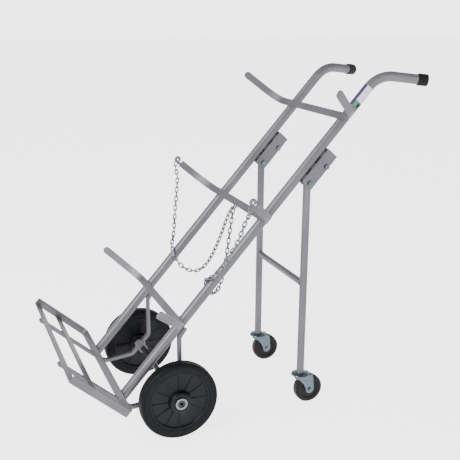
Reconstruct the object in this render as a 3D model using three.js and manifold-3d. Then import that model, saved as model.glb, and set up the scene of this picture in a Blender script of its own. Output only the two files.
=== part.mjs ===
// Twin gas cylinder cart standing on its two wheels and its folding castor legs.
// Millimetres, +Z up, +Y towards the handles, X across. The wheel axle is at y = 0 until the
// last lines, which move the whole cart so that the middle of its footprint is the origin.
import * as THREE from 'three';
import { mergeVertices } from 'three/addons/utils/BufferGeometryUtils.js';
import Module from 'manifold-3d';

const wasm = await Module();
wasm.setup();

// ---- driving dimensions -------------------------------------------------------------------
const GAP = 0.3;                      // clearance left between touching pieces
const LEAN = THREE.MathUtils.degToRad(41.8); // rails lean back this far from upright

const WHEEL_R = 127;
const WHEEL_X = 234;                  // middle of the tyre
const TYRE_W = 44;
const TYRE_SHOULDER = [[10, 0], [3, 4], [0, 12]]; // down from the tread, in from the side
const RIM_R = 98;
const RIM_INSET = 3;                  // rim edge, in from the side of the tyre
const AXLE_R = 9.5;
const AXLE_BORE_R = 5.5;
const AXLE_HALF = 268;
const HUB_IN = 205;                   // inner and outer faces of the hub bush
const HUB_OUT = 270;
const HUB_R = 19.5;

const RAIL_R = 16;
const RAIL_WALL = 2.5;
const RAIL_X = 178;
const RAIL_CORNER_Z = 1312;           // where the straight rail and the handle would meet
const HANDLE_DIR = [0.331, 0.770, 0.545];
const HANDLE_LEN = 157;
const BEND_R = 90;
const CAP_R = 19.5;
const CAP_LEN = 33;
const CAP_END = 3;
const CAP_CHAMFER = 2;

const FLAT = 5;                       // flat bar used for tray and cradles
const FLAT_W = 25;
const FLAT_Y = -(RAIL_R + GAP + FLAT / 2);

const TRAY_HALF = 325;
const TRAY_FRONT = -241;
const TRAY_MID = -137;
const TRAY_CORNER = 16;

const STAY_W = 14;                    // across X
const STAY_T = 12;
const RUNNER_END = -237;              // middle of the rounded front end
const RUNNER_BACK = 30;
const RUNNER_Z = -(GAP + STAY_T / 2);
const STAY_BENDS = [[-136, 99], [-39.4, 110], [23.5, 177.4], [23.5, 312.6]];
const STAY_TOP = 300;                 // where the stay meets the back of the rail

const LUG_R = 15;
const LUG_T = 8;
const LUG_BUMP = [-14, 20];           // far end of the lug, seen from the axle

const AXLE_LOCAL = [132.9, 110.4];    // axle seen from the rail foot, rails upright

const CHANNEL_Z = [890, 1025];
const CHANNEL_Y = [16.3, 58];
const CHANNEL_HALF = 20;
const PLATE = 3;
const PIVOT = [40, 903];
const LOCK = [50, 979];
const BOLT_R = 5;
const BOLT_SHAPE = { headRadius: 1.7, headHeight: 1.2, nutHeight: 1.4 }; // in shank radii
const BOLT_TAIL = 2;                  // thread showing beyond the nut

const LEG_R = 12.7;
const LEG_WALL = 2.5;
const LEG_FOOT_Z = 113;
const BRACE_Z = 434;
const BRACE_R = 11;
const BRACE_WALL = 2;

const CASTOR_R = 50;
const CASTOR_W = 30;
const CASTOR_TRAIL = 30;
const FORK_HALF = 20;
const FORK_TOP = 104;
const FORK_TIP_R = 15;
const FORK_CROWN = [-27, 38];         // back and front of the crown, from the king pin
const FORK_LIP = 8;                   // depth of the crown's back edge
const FORK_SHOULDER = [42, 12];       // front corner: forward, and below the crown
const RACE_R = 31;
const RACE_LIP = [[-3, 0], [0, 2], [-2, 4.5]]; // rounded rim: from RACE_R, up from the crown
const RACE_NECK = [15, 6];            // radius and height where the race meets the leg foot
const KING_PIN_R = 5;
const KING_HEAD = [8, 4];             // radius and height
const CASTOR_BOLT_R = 4;
const CASTOR_HUB_R = [12, 14];        // top and foot of the small hub
const CASTOR_DISH_R = [33, 35];       // foot and top of the dished side's outer edge
const CASTOR_DISH = 3;                // depth of the dished side
const CASTOR_SHOULDER = [4, 5];       // tread chamfer: down the radius, in from the side

const CHAIN_R = 5;

const HOOK_AT = [345, 152, 725.5];    // middle of the loop: across, forward, up the rail
const HOOK_ROD = 3.6;
const HOOK_LOOP = 7.4;
const HOOK_TURN = 250;                // degrees that the hook curls through
const HOOK_STEP = 25;
const EYE_LOOP = 8;
const EYE_ROD = 3;
const EYE_DROP = 6;

const LABEL_Z = [1150, 1260];
const LABEL_DEGREES = [-125, 50];
const LABEL_R = [RAIL_R + 0.15, RAIL_R + 0.65];

const RIBS = 12;
const RIB_T = 4;
const RIB_W = 32;                     // along the axle
const RIB_R = [31, 91];
const WEB = 4;                        // half the thickness of the disc between hub and rim
const BOSS_R = 34;
const BUSH_SHOWS = [1, 4];            // how far the bush stands out of the boss, inside and out
const DRAFT = 3;                      // slope between the disc and the boss or rim
const RECESS_R = 12;
const RECESS_DEPTH = 6;
const SPACER_R = 14;
const CLIP_R = 11.5;
const CLIP_T = 1.5;

// Number of flats on round pieces.
const TINY_ROUND = 10;
const SMALL_ROUND = 20;
const MIDDLE_ROUND = 24;
const ROUND = 32;
const WHEEL_ROUND = 40;

// ---- derived positions ----------------------------------------------------------------------
const SIN = Math.sin(LEAN);
const COS = Math.cos(LEAN);
const FOOT = [
  -(AXLE_LOCAL[0] * COS + AXLE_LOCAL[1] * SIN),
  WHEEL_R + AXLE_LOCAL[0] * SIN - AXLE_LOCAL[1] * COS,
];
const lean = (y, z) => [FOOT[0] + y * COS + z * SIN, FOOT[1] - y * SIN + z * COS];
const PIVOT_AT = lean(...PIVOT);

// ---- materials ------------------------------------------------------------------------------
const paint = { color: 0x9a9a9f, roughness: 0.42, metalness: 0.35 };
const rubber = { color: 0x242629, roughness: 0.8, metalness: 0 };
const plastic = { color: 0x2b2d30, roughness: 0.6, metalness: 0 };
const zinc = { color: 0x8a979c, roughness: 0.35, metalness: 0.8 };
const steel = { color: 0xb9bcc0, roughness: 0.3, metalness: 0.9 };
const vinyl = { color: 0xd9d6e4, roughness: 0.5, metalness: 0 };

// ---- small tools ----------------------------------------------------------------------------
const TURN = 2 * Math.PI;
const v3 = (x, y, z) => new THREE.Vector3(x, y, z);
const v2 = (x, y) => new THREE.Vector2(x, y);

function toSolid(geometry) {
  const bare = geometry.clone();
  bare.deleteAttribute('normal');
  bare.deleteAttribute('uv');
  const merged = mergeVertices(bare, 1e-4);
  return new wasm.Manifold(new wasm.Mesh({
    numProp: 3,
    vertProperties: new Float32Array(merged.attributes.position.array),
    triVerts: new Uint32Array(merged.index.array),
  }));
}

function toGeometry(solid) {
  const mesh = solid.getMesh();
  const geometry = new THREE.BufferGeometry();
  geometry.setAttribute('position', new THREE.BufferAttribute(mesh.vertProperties, 3));
  geometry.setIndex(new THREE.BufferAttribute(mesh.triVerts, 1));
  geometry.computeVertexNormals();
  return geometry;
}

function cut(base, ...tools) {
  let solid = toSolid(base);
  for (const tool of tools) solid = solid.subtract(toSolid(tool));
  return toGeometry(solid);
}

function join(base, ...more) {
  let solid = toSolid(base);
  for (const piece of more) solid = solid.add(toSolid(piece));
  return toGeometry(solid);
}

// A closed round bar through the points, with flat ends.
function sweep(points, radius, sides) {
  const positions = [];
  const index = [];
  const count = points.length;
  const tangents = points.map((p, i) => {
    const before = points[Math.max(i - 1, 0)];
    const after = points[Math.min(i + 1, count - 1)];
    return after.clone().sub(before).normalize();
  });
  const seed = Math.abs(tangents[0].z) < 0.9 ? v3(0, 0, 1) : v3(0, 1, 0);
  let normal = seed.sub(tangents[0].clone().multiplyScalar(seed.dot(tangents[0]))).normalize();
  points.forEach((p, i) => {
    normal = normal.sub(tangents[i].clone().multiplyScalar(normal.dot(tangents[i]))).normalize();
    const side = tangents[i].clone().cross(normal);
    for (let k = 0; k < sides; k += 1) {
      const a = (TURN * k) / sides;
      const q = p.clone();
      q.addScaledVector(normal, radius * Math.cos(a));
      q.addScaledVector(side, radius * Math.sin(a));
      positions.push(q.x, q.y, q.z);
    }
  });
  for (let i = 0; i < count - 1; i += 1) {
    for (let k = 0; k < sides; k += 1) {
      const a = i * sides + k;
      const b = i * sides + ((k + 1) % sides);
      index.push(a, b, a + sides, b, b + sides, a + sides);
    }
  }
  const last = (count - 1) * sides;
  for (let k = 1; k < sides - 1; k += 1) {
    index.push(0, k + 1, k);
    index.push(last, last + k, last + k + 1);
  }
  const geometry = new THREE.BufferGeometry();
  geometry.setAttribute('position', new THREE.Float32BufferAttribute(positions, 3));
  geometry.setIndex(index);
  geometry.computeVertexNormals();
  return geometry;
}

// A round tube, open at both ends.
function tube(points, outer, inner, sides) {
  const longer = points.map((p) => p.clone());
  const end = longer.length - 1;
  longer[0].add(longer[0].clone().sub(longer[1]).setLength(1));
  longer[end].add(longer[end].clone().sub(longer[end - 1]).setLength(1));
  return cut(sweep(points, outer, sides), sweep(longer, inner, sides));
}

// Points of a path that turns from one straight run into another with a round bend.
function bend(start, corner, end, radius, steps) {
  const from = start.clone().sub(corner).normalize();
  const to = end.clone().sub(corner).normalize();
  const half = Math.acos(THREE.MathUtils.clamp(from.dot(to), -1, 1)) / 2;
  const centre = from.clone().add(to).setLength(radius / Math.sin(half)).add(corner);
  const reach = radius / Math.tan(half);
  const first = from.clone().multiplyScalar(reach).add(corner).sub(centre);
  const final = to.clone().multiplyScalar(reach).add(corner).sub(centre);
  const axis = first.clone().cross(final).normalize();
  const points = [start];
  for (let i = 0; i <= steps; i += 1) {
    const turn = ((Math.PI - 2 * half) * i) / steps;
    points.push(first.clone().applyAxisAngle(axis, turn).add(centre));
  }
  points.push(end);
  return points;
}

// Outline of a flat bar that follows the points, with mitred corners.
function ribbon(points, thickness) {
  const left = [];
  const right = [];
  const half = thickness / 2;
  points.forEach((p, i) => {
    const before = points[i - 1] ?? p;
    const after = points[i + 1] ?? p;
    const a = p.clone().sub(before);
    const b = after.clone().sub(p);
    if (i === 0) a.copy(b);
    if (i === points.length - 1) b.copy(a);
    a.normalize();
    b.normalize();
    const middle = a.clone().add(b).normalize();
    const reach = half / Math.max(middle.dot(a), 0.5);
    left.push(v2(p.x - middle.y * reach, p.y + middle.x * reach));
    right.unshift(v2(p.x + middle.y * reach, p.y - middle.x * reach));
  });
  return new THREE.Shape([...left, ...right]);
}

const extrude = (shape, depth) => new THREE.ExtrudeGeometry(shape, {
  depth, bevelEnabled: false, curveSegments: 10,
});

// Turns a shape drawn in (Y, Z) and extruded into a solid that runs along +X.
function alongX(geometry) {
  const basis = new THREE.Matrix4().makeBasis(v3(0, 1, 0), v3(0, 0, 1), v3(1, 0, 0));
  return geometry.applyMatrix4(basis);
}

// A turned piece on the X axis. The profile is [radius, x] pairs, drawn anticlockwise.
function turned(profile, segments) {
  const points = profile.map(([r, x]) => v2(r, x));
  return new THREE.LatheGeometry(points, segments).rotateZ(-Math.PI / 2);
}

const closedRing = (inner, outer, x0, x1) => [
  [inner, x0], [outer, x0], [outer, x1], [inner, x1], [inner, x0],
];

function rodX(radius, x0, x1, sides = MIDDLE_ROUND) {
  return new THREE.CylinderGeometry(radius, radius, x1 - x0, sides)
    .rotateZ(-Math.PI / 2).translate((x0 + x1) / 2, 0, 0);
}

function add(parent, name, geometry, look) {
  const mesh = new THREE.Mesh(geometry, new THREE.MeshStandardMaterial(look));
  mesh.name = name;
  parent.add(mesh);
  return mesh;
}

const SIDES = [['left', -1], ['right', 1]];

// ---- the cart: everything is placed from the axle ---------------------------------------------
const cart = new THREE.Group();
const frame = new THREE.Group();      // upright hand truck, leaned back as one group
frame.rotation.x = -LEAN;
frame.position.set(0, FOOT[0], FOOT[1]);
cart.add(frame);

function handleEnd(sign, length) {
  const [x, y, z] = HANDLE_DIR;
  return v3(sign * (RAIL_X + x * length), y * length, RAIL_CORNER_Z + z * length);
}

function addRail(name, sign) {
  const corner = v3(sign * RAIL_X, 0, RAIL_CORNER_Z);
  const path = bend(v3(sign * RAIL_X, 0, 0), corner, handleEnd(sign, HANDLE_LEN), BEND_R, 8);
  add(frame, `rail_${name}`, tube(path, RAIL_R, RAIL_R - RAIL_WALL, SMALL_ROUND), paint);
}

function addGripCap(name, sign) {
  const bore = RAIL_R + GAP;
  const profile = [[0, CAP_LEN], [0, CAP_LEN - CAP_END], [bore, CAP_LEN - CAP_END], [bore, 0]];
  profile.push([CAP_R, 0]);
  profile.push([CAP_R, CAP_LEN - CAP_CHAMFER], [CAP_R - CAP_CHAMFER, CAP_LEN], [0, CAP_LEN]);
  const cap = add(frame, `grip_cap_${name}`, turned(profile, SMALL_ROUND), rubber);
  const open = handleEnd(sign, HANDLE_LEN + GAP - (CAP_LEN - CAP_END));
  const shut = handleEnd(sign, HANDLE_LEN + GAP);
  cap.position.copy(open);
  cap.quaternion.setFromUnitVectors(v3(1, 0, 0), shut.sub(open).normalize());
}

function addTray() {
  const outer = TRAY_HALF - FLAT / 2;
  const corner = [];
  for (let i = 0; i <= 4; i += 1) {
    const a = (Math.PI / 2) * (i / 4);
    const x = outer - TRAY_CORNER + TRAY_CORNER * Math.sin(a);
    corner.push([x, FLAT_Y - TRAY_CORNER + TRAY_CORNER * Math.cos(a)]);
  }
  const rightHalf = [...corner, [outer, TRAY_FRONT]].map(([x, y]) => v2(x, y));
  const leftHalf = rightHalf.map((p) => v2(-p.x, p.y)).reverse();
  const rim = extrude(ribbon([...leftHalf, ...rightHalf], FLAT), FLAT_W);
  add(frame, 'tray_rim', rim, paint);
  const half = TRAY_HALF - FLAT - GAP;
  const front = new THREE.BoxGeometry(2 * half, FLAT_W, FLAT);
  front.translate(0, TRAY_FRONT + FLAT_W / 2, FLAT / 2);
  add(frame, 'tray_front_bar', front, paint);
  const middle = new THREE.BoxGeometry(2 * half, FLAT_W, FLAT).translate(0, TRAY_MID, FLAT / 2);
  add(frame, 'tray_middle_bar', middle, paint);
}

// One bent bar per side: tray runner, then under the axle and up to the back of the rail.
function addStay(name, sign) {
  const railBack = RAIL_R + GAP + STAY_T / 2;
  const route = [
    lean(RUNNER_END, RUNNER_Z), lean(RUNNER_BACK, RUNNER_Z), ...STAY_BENDS,
    lean(railBack + GAP, STAY_TOP),
  ];
  const bar = extrude(ribbon(route.map(([y, z]) => v2(y, z)), STAY_T), STAY_W);
  alongX(bar).translate(sign * RAIL_X - STAY_W / 2, 0, 0);
  const [noseY, noseZ] = lean(RUNNER_END, RUNNER_Z);
  const nose = rodX(STAY_T / 2, -STAY_W / 2, STAY_W / 2, SMALL_ROUND);
  nose.translate(sign * RAIL_X, noseY, noseZ);
  add(cart, `runner_stay_${name}`, join(bar, nose), paint);
}

function addLug(name, sign) {
  const [bumpY, bumpZ] = LUG_BUMP;
  const away = Math.atan2(bumpZ, bumpY);
  const shape = new THREE.Shape();
  shape.absarc(0, 0, LUG_R, away + Math.PI / 2, away - Math.PI / 2, false);
  shape.absarc(bumpY, bumpZ, LUG_R, away - Math.PI / 2, away + Math.PI / 2, false);
  const lug = alongX(extrude(shape, LUG_T)).translate(0, 0, WHEEL_R);
  const inner = RAIL_X - STAY_W / 2 - GAP - LUG_T;
  lug.translate(sign > 0 ? inner : -inner - LUG_T, 0, 0);
  const hole = rodX(AXLE_R + GAP, -WHEEL_X, WHEEL_X).translate(0, 0, WHEEL_R);
  add(cart, `axle_lug_${name}`, cut(lug, hole), paint);
}

// ---- cradles: flat bars across the rails that hold the cylinders -------------------------------
// Each arm is given as [across, forward] points from the rail to its end.
const CRADLES = {
  top: {
    z: 1130,
    round: true,
    arm: [[196, 18.8], [222, 18.8], [246, 24], [270, 38], [289, 58], [305, 84], [320, 114],
      [337, 147]],
  },
  middle: {
    z: 722,
    round: false,
    arm: [[196, 18.8], [222, 18.8], [248, 23], [274, 35], [298, 54], [318, 80], [332, 108],
      [341, 135]],
  },
  bottom: {
    z: 304,
    round: true,
    arm: [[196, 18.8], [222, 19.5], [240, 28], [256, 44], [272, 64], [292, 93], [311, 122],
      [329, 151]],
  },
};
const ARM_STEPS = 12;

function armPoints(arm, sign) {
  const curve = new THREE.SplineCurve(arm.map(([x, forward]) => v2(sign * x, -forward)));
  return curve.getPoints(ARM_STEPS);
}

function addCradle(name, { z, round, arm }) {
  const ends = [armPoints(arm, -1), armPoints(arm, 1)];
  const outline = ribbon([...ends[0].toReversed(), ...ends[1]], FLAT);
  let bar = extrude(outline, FLAT_W).translate(0, 0, z - FLAT_W / 2);
  for (const points of round ? ends : []) {
    const [before, end] = points.slice(-2);
    const tip = rodX(FLAT_W / 2, -FLAT / 2, FLAT / 2, SMALL_ROUND);
    tip.rotateZ(Math.atan2(before.x - end.x, end.y - before.y));
    tip.translate(end.x, end.y, z);
    bar = join(bar, tip);
  }
  add(frame, `cradle_${name}`, bar, paint);
}

// Rod hook on the end of each middle arm, curled up and back into an open loop.
function addHook(name, sign) {
  const [armX, armForward] = CRADLES.middle.arm.at(-1);
  const [x, forward, z] = HOOK_AT;
  const points = [v3(armX + 2 * GAP, -armForward - 2 * GAP, z - HOOK_LOOP)];
  for (let i = 0; i <= HOOK_TURN; i += HOOK_STEP) {
    const a = THREE.MathUtils.degToRad(-90 - i);
    points.push(v3(x, HOOK_LOOP * Math.cos(a) - forward, z + HOOK_LOOP * Math.sin(a)));
  }
  const path = points.map((p) => v3(sign * p.x, p.y, p.z));
  add(frame, `chain_hook_${name}`, sweep(path, HOOK_ROD, TINY_ROUND), paint);
}

function addChainEye() {
  const top = CRADLES.middle.z - FLAT_W / 2 - GAP;
  const low = top - EYE_DROP;
  const points = [v3(-EYE_LOOP, FLAT_Y, top), v3(-EYE_LOOP, FLAT_Y, low)];
  for (let i = 1; i < 8; i += 1) {
    const a = Math.PI + (Math.PI * i) / 8;
    points.push(v3(EYE_LOOP * Math.cos(a), FLAT_Y, low + EYE_LOOP * Math.sin(a)));
  }
  points.push(v3(EYE_LOOP, FLAT_Y, low), v3(EYE_LOOP, FLAT_Y, top));
  add(frame, 'chain_eye', sweep(points, EYE_ROD, TINY_ROUND), paint);
}

// ---- folding legs --------------------------------------------------------------------------
function boltHoles(y, z) {
  return rodX(BOLT_R + GAP, -300, 300).translate(0, y, z);
}

function addChannel(name, sign) {
  const [y0, y1] = CHANNEL_Y;
  const [z0, z1] = CHANNEL_Z;
  const shape = new THREE.Shape([
    v2(-CHANNEL_HALF, y0), v2(CHANNEL_HALF, y0), v2(CHANNEL_HALF, y1),
    v2(CHANNEL_HALF - PLATE, y1), v2(CHANNEL_HALF - PLATE, y0 + PLATE),
    v2(PLATE - CHANNEL_HALF, y0 + PLATE), v2(PLATE - CHANNEL_HALF, y1), v2(-CHANNEL_HALF, y1),
  ]);
  const channel = extrude(shape, z1 - z0).translate(sign * RAIL_X, 0, z0);
  add(frame, `leg_channel_${name}`, cut(channel, boltHoles(...PIVOT), boltHoles(...LOCK)), paint);
}

function addBolt(parent, name, x, y, z, halfGrip, radius) {
  const headR = radius * BOLT_SHAPE.headRadius;
  const headIn = halfGrip + GAP;
  const headOut = headIn + radius * BOLT_SHAPE.headHeight;
  const nutOut = headIn + radius * BOLT_SHAPE.nutHeight;
  const shaft = rodX(radius, -nutOut - BOLT_TAIL, headIn + 1, SMALL_ROUND);
  const bolt = join(shaft, rodX(headR, headIn, headOut, 6));
  const hole = rodX(radius + GAP, -nutOut - 1, 0, SMALL_ROUND);
  const nut = cut(rodX(headR, -nutOut, -headIn, 6), hole);
  add(parent, `${name}_bolt`, bolt, zinc).position.set(x, y, z);
  add(parent, `${name}_nut`, nut, zinc).position.set(x, y, z);
}

function addLeg(name, sign) {
  const [pivotY, pivotZ] = PIVOT_AT;
  const webFace = CHANNEL_Y[0] + PLATE + GAP;
  const cornerY = pivotY - LEG_R;
  const top = FOOT[1] + ((cornerY - FOOT[0]) * COS - webFace) / SIN;
  const x = sign * RAIL_X;
  const ends = [v3(x, pivotY, LEG_FOOT_Z), v3(x, pivotY, top)];
  const pipe = tube(ends, LEG_R, LEG_R - LEG_WALL, SMALL_ROUND);
  add(cart, `leg_${name}`, cut(pipe, boltHoles(pivotY, pivotZ)), paint);
}

function addBrace() {
  const half = RAIL_X - LEG_R - GAP;
  const inner = BRACE_R - BRACE_WALL;
  const pipe = tube([v3(-half, 0, 0), v3(half, 0, 0)], BRACE_R, inner, SMALL_ROUND);
  add(cart, 'leg_brace', pipe, paint).position.set(0, PIVOT_AT[0], BRACE_Z);
}

// ---- castors ---------------------------------------------------------------------------------
// Ball race and king pin, fixed under the leg.
function castorCup() {
  const plateIn = FORK_TOP - PLATE;
  const [headR, headHeight] = KING_HEAD;
  const [neckR, neckHeight] = RACE_NECK;
  const race = FORK_TOP + GAP;
  const foot = LEG_FOOT_Z - GAP;
  const profile = [
    [0, plateIn - headHeight], [headR, plateIn - headHeight], [headR, plateIn - GAP],
    [KING_PIN_R, plateIn - GAP], [KING_PIN_R, race],
    ...RACE_LIP.map(([out, up]) => [RACE_R + out, race + up]),
    [neckR, race + neckHeight], [neckR, foot], [0, foot],
  ];
  const cup = new THREE.LatheGeometry(profile.map(([r, z]) => v2(r, z)), MIDDLE_ROUND);
  return cup.rotateX(Math.PI / 2);
}

function castorFork() {
  const plateIn = FORK_TOP - PLATE;
  const [back, front] = FORK_CROWN;
  const [shoulder, shoulderDrop] = FORK_SHOULDER;
  const shape = new THREE.Shape();
  shape.moveTo(back, FORK_TOP);
  shape.lineTo(back, FORK_TOP - FORK_LIP);
  shape.lineTo(CASTOR_TRAIL + 1 - FORK_TIP_R, CASTOR_R - 6);
  shape.absarc(CASTOR_TRAIL, CASTOR_R, FORK_TIP_R, Math.PI + 0.4, TURN, false);
  shape.lineTo(shoulder, FORK_TOP - shoulderDrop);
  shape.lineTo(front, FORK_TOP);
  const block = alongX(extrude(shape, 2 * FORK_HALF)).translate(-FORK_HALF, 0, 0);
  const inner = 2 * (FORK_HALF - PLATE);
  const slot = new THREE.BoxGeometry(inner, 200, plateIn).translate(0, 0, plateIn / 2);
  const holeR = KING_PIN_R + GAP;
  const kingHole = new THREE.CylinderGeometry(holeR, holeR, 20, SMALL_ROUND);
  kingHole.rotateX(Math.PI / 2).translate(0, 0, FORK_TOP);
  const axleHole = rodX(CASTOR_BOLT_R + GAP, -60, 60, SMALL_ROUND);
  axleHole.translate(0, CASTOR_TRAIL, CASTOR_R);
  return cut(block, slot, kingHole, axleHole);
}

function castorWheel() {
  const bore = CASTOR_BOLT_R + GAP;
  const half = CASTOR_W / 2;
  const dish = half - CASTOR_DISH;
  const [hubTop, hubFoot] = CASTOR_HUB_R;
  const [dishFoot, dishTop] = CASTOR_DISH_R;
  const [down, inward] = CASTOR_SHOULDER;
  const side = [
    [bore, half + 1], [hubTop, half + 1], [hubFoot, dish], [dishFoot, dish], [dishTop, half],
    [CASTOR_R - down, half], [CASTOR_R, half - inward],
  ];
  const near = side.map(([r, x]) => [r, -x]);
  return turned([...near, ...side.reverse(), near[0]], ROUND);
}

function addCastor(name, sign) {
  const x = sign * RAIL_X;
  const y = PIVOT_AT[0];
  add(cart, `castor_cup_${name}`, castorCup(), zinc).position.set(x, y, 0);
  add(cart, `castor_fork_${name}`, castorFork(), zinc).position.set(x, y, 0);
  const wheel = add(cart, `castor_wheel_${name}`, castorWheel(), rubber);
  wheel.position.set(x, y + CASTOR_TRAIL, CASTOR_R);
  addBolt(cart, `castor_${name}`, x, y + CASTOR_TRAIL, CASTOR_R, FORK_HALF, CASTOR_BOLT_R);
}

// ---- main wheels -------------------------------------------------------------------------------
function wheelTyre() {
  const half = TYRE_W / 2;
  const shoulder = TYRE_SHOULDER.map(([down, inward]) => [WHEEL_R - down, half - inward]);
  const side = [[RIM_R, half - RIM_INSET], ...shoulder];
  const near = side.map(([r, x]) => [r, -x]);
  return turned([...near, ...side.reverse(), near[0]], WHEEL_ROUND);
}

// Moulded disc with a boss, a rim and ribs. The +X side faces away from the cart.
function wheelCentre() {
  const edge = TYRE_W / 2 - RIM_INSET;
  const inFace = HUB_IN + BUSH_SHOWS[0] - WHEEL_X;
  const outFace = HUB_OUT - BUSH_SHOWS[1] - WHEEL_X;
  const bore = HUB_R + GAP;
  const rim = RIM_R - GAP;
  const profile = [
    [bore, inFace], [BOSS_R, inFace], [BOSS_R + DRAFT, -WEB], [RIB_R[1] - DRAFT, -WEB],
    [RIB_R[1], -edge], [rim, -edge], [rim, edge], [RIB_R[1], edge],
    [RIB_R[1] - DRAFT, WEB], [BOSS_R + DRAFT, WEB], [BOSS_R, outFace], [bore, outFace],
    [bore, inFace],
  ];
  let centre = turned(profile, WHEEL_ROUND);
  const length = RIB_R[1] - RIB_R[0];
  for (let i = 0; i < RIBS; i += 1) {
    const rib = new THREE.BoxGeometry(RIB_W, RIB_T, length);
    rib.translate(0, 0, RIB_R[0] + length / 2).rotateX((i * TURN) / RIBS);
    centre = join(centre, rib);
  }
  return centre;
}

function hubPieces() {
  const shaft = AXLE_R + GAP;
  const floor = HUB_OUT - RECESS_DEPTH;
  const bush = [
    [shaft, HUB_IN], [HUB_R, HUB_IN], [HUB_R, HUB_OUT], [RECESS_R, HUB_OUT], [RECESS_R, floor],
    [shaft, floor], [shaft, HUB_IN],
  ];
  const stayOut = RAIL_X + STAY_W / 2 + GAP;
  return {
    hub_bush: turned(bush, ROUND),
    axle_spacer: turned(closedRing(shaft, SPACER_R, stayOut, HUB_IN - GAP), MIDDLE_ROUND),
    axle_clip: turned(closedRing(shaft, CLIP_R, floor + GAP, floor + GAP + CLIP_T), MIDDLE_ROUND),
  };
}

// Mirrors a solid across X and restores its outward faces.
function mirrored(geometry) {
  geometry.scale(-1, 1, 1);
  const index = geometry.index.array;
  for (let i = 0; i < index.length; i += 3) {
    [index[i + 1], index[i + 2]] = [index[i + 2], index[i + 1]];
  }
  geometry.computeVertexNormals();
  return geometry;
}

function addWheel(name, sign) {
  const tyre = add(cart, `tyre_${name}`, wheelTyre(), rubber);
  tyre.position.set(sign * WHEEL_X, 0, WHEEL_R);
  const moulding = sign < 0 ? mirrored(wheelCentre()) : wheelCentre();
  const centre = add(cart, `wheel_centre_${name}`, moulding, plastic);
  centre.position.set(sign * WHEEL_X, 0, WHEEL_R);
  for (const [label, piece] of Object.entries(hubPieces())) {
    if (sign < 0) piece.rotateZ(Math.PI);
    add(cart, `${label}_${name}`, piece, steel).position.set(0, 0, WHEEL_R);
  }
}

function addAxle() {
  const axle = tube([v3(-AXLE_HALF, 0, 0), v3(AXLE_HALF, 0, 0)], AXLE_R, AXLE_BORE_R, MIDDLE_ROUND);
  add(cart, 'axle', axle, steel).position.set(0, 0, WHEEL_R);
}

function addLabel() {
  const [from, to] = LABEL_DEGREES.map(THREE.MathUtils.degToRad);
  const shape = new THREE.Shape();
  shape.absarc(0, 0, LABEL_R[1], from, to, false);
  shape.absarc(0, 0, LABEL_R[0], to, from, true);
  const label = extrude(shape, LABEL_Z[1] - LABEL_Z[0]);
  add(frame, 'label', label, vinyl).position.set(RAIL_X, 0, LABEL_Z[0]);
}

// ---- chains -------------------------------------------------------------------------------------
// From the hook over the front of the rail, then in a hanging loop up to the middle eye. Each
// point is [across, y, z] from the point of the floor under the middle of the axle.
const CHAIN = [
  [346, 188.5, 760.8], [347, 188.5, 751], [335, 188.5, 733], [319, 187, 713], [306, 180, 677.5],
  [293, 173, 644.5], [269, 160, 601], [252, 152, 569], [217, 136, 526], [194, 122, 503],
  [180, 118, 496], [167, 117, 487], [157.5, 119.5, 473], [152, 124, 458], [145, 134, 441],
  [133, 148, 428], [118, 165, 421], [102, 183, 423], [88, 198, 436], [75, 211, 456],
  [63, 222, 482], [53, 232, 511], [43, 241, 541], [34, 249, 572], [26, 257, 603],
  [18, 265, 634], [12, 272, 658],
];

function addChain(name, sign) {
  const route = CHAIN.map(([x, y, z]) => v3(sign * x, y, z));
  const curve = new THREE.CatmullRomCurve3(route, false, 'centripetal');
  const section = new THREE.Shape(new THREE.Path().absarc(0, 0, CHAIN_R, 0, TURN).getPoints(4));
  const cord = new THREE.ExtrudeGeometry(section, { steps: 44, extrudePath: curve });
  add(cart, `chain_${name}`, cord, zinc);
}

// ---- put it together ------------------------------------------------------------------------
addTray();
for (const [name, spec] of Object.entries(CRADLES)) addCradle(name, spec);
addChainEye();
addAxle();
addLabel();
for (const [name, sign] of SIDES) {
  const x = sign * RAIL_X;
  addRail(name, sign);
  addGripCap(name, sign);
  addStay(name, sign);
  addLug(name, sign);
  addHook(name, sign);
  addChannel(name, sign);
  addBolt(frame, `pivot_${name}`, x, ...PIVOT, CHANNEL_HALF, BOLT_R);
  addBolt(frame, `lock_${name}`, x, ...LOCK, CHANNEL_HALF, BOLT_R);
  addLeg(name, sign);
  addCastor(name, sign);
  addWheel(name, sign);
  addChain(name, sign);
}
addBrace();

cart.updateMatrixWorld(true);
const extent = new THREE.Box3().setFromObject(cart, true);
const middle = extent.getCenter(v3(0, 0, 0));
cart.position.set(-middle.x, -middle.y, -extent.min.z);

const group = new THREE.Group();
group.add(cart);
group.updateMatrixWorld(true);

export default group;
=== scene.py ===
import math
import random

import bmesh
import bpy
from mathutils import Matrix, Vector

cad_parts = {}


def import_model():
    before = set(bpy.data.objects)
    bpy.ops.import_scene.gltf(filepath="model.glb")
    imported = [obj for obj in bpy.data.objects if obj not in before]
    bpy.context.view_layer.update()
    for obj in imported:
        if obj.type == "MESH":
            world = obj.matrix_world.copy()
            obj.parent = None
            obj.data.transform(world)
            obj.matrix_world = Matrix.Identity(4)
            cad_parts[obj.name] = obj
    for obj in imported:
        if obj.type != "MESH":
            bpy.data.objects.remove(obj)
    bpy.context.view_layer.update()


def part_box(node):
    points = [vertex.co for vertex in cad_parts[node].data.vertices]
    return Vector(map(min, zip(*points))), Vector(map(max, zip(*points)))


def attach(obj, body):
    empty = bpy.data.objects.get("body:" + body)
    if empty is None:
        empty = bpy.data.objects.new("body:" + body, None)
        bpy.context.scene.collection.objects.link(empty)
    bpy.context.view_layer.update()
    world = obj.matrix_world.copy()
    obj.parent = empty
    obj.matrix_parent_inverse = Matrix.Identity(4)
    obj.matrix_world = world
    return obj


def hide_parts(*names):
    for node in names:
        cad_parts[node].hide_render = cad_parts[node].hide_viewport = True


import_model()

MM = 0.001
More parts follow.
